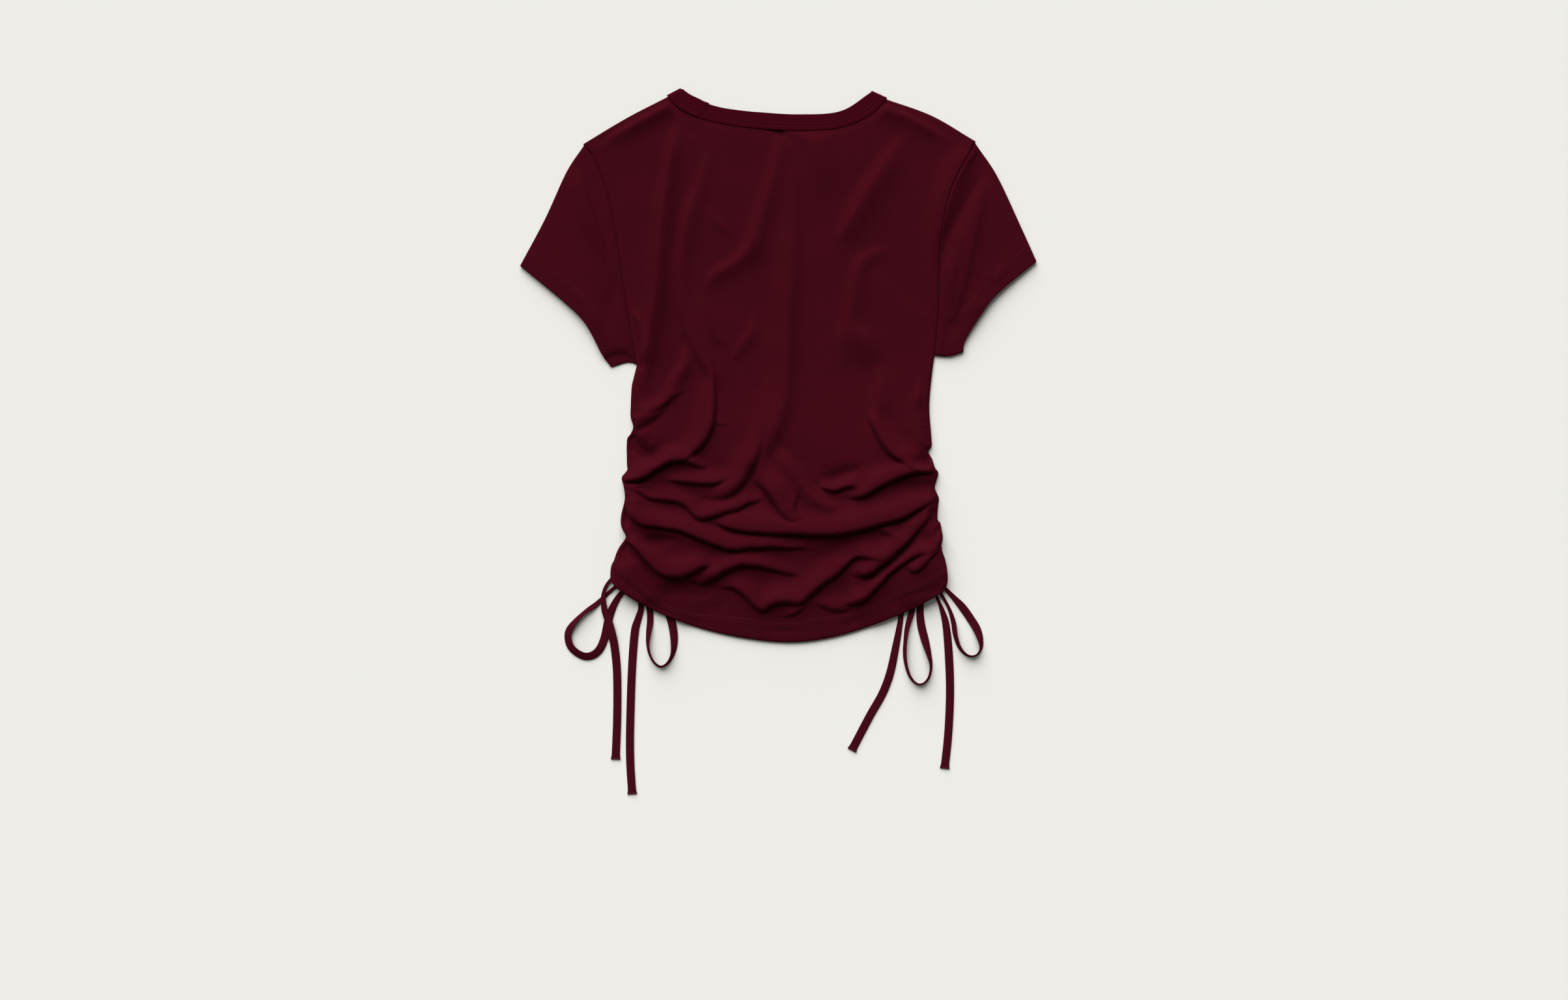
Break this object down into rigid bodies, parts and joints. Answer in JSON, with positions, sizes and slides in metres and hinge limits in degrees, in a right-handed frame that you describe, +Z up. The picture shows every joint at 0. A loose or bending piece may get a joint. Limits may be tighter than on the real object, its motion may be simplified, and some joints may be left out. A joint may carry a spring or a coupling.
{
  "type": "side-cinch t-shirt laid flat",
  "caption": "Short-sleeved crew-neck t-shirt laid flat, back upwards, gathered at both side seams by drawstrings tied in bows at the curved hem.",
  "frame": {"origin": "centre of the garment's plan extent, on the surface that it lies on; the drawstrings' free ends reach past it towards -Y", "axes": "+Z up from the surface, +Y from the hem to the neck, +X to the right-hand sleeve seen from above"},
  "size_m": [0.5072, 0.6918, 0.0177],
  "materials": {
    "jersey": "matte fine jersey, deep burgundy",
    "jersey_under": "matte fine jersey, deep burgundy",
    "neckband_jersey": "matte fine jersey, folded double",
    "tie_jersey": "matte fine jersey, turned and pressed flat"
  },
  "bodies": {
    "root": {"back_panel": "jersey", "front_panel": "jersey_under", "sleeve_left": "jersey", "sleeve_right": "jersey", "neckband": "neckband_jersey", "knot_left": "tie_jersey", "knot_right": "tie_jersey", "loop_outer_left": "tie_jersey", "loop_inner_left": "tie_jersey", "tail_outer_left": "tie_jersey", "tail_inner_left": "tie_jersey", "loop_outer_right": "tie_jersey", "loop_inner_right": "tie_jersey", "tail_outer_right": "tie_jersey", "tail_inner_right": "tie_jersey", "lead_front_left": "tie_jersey", "lead_back_left": "tie_jersey", "lead_front_right": "tie_jersey", "lead_back_right": "tie_jersey"}
  },
  "joints": []
}
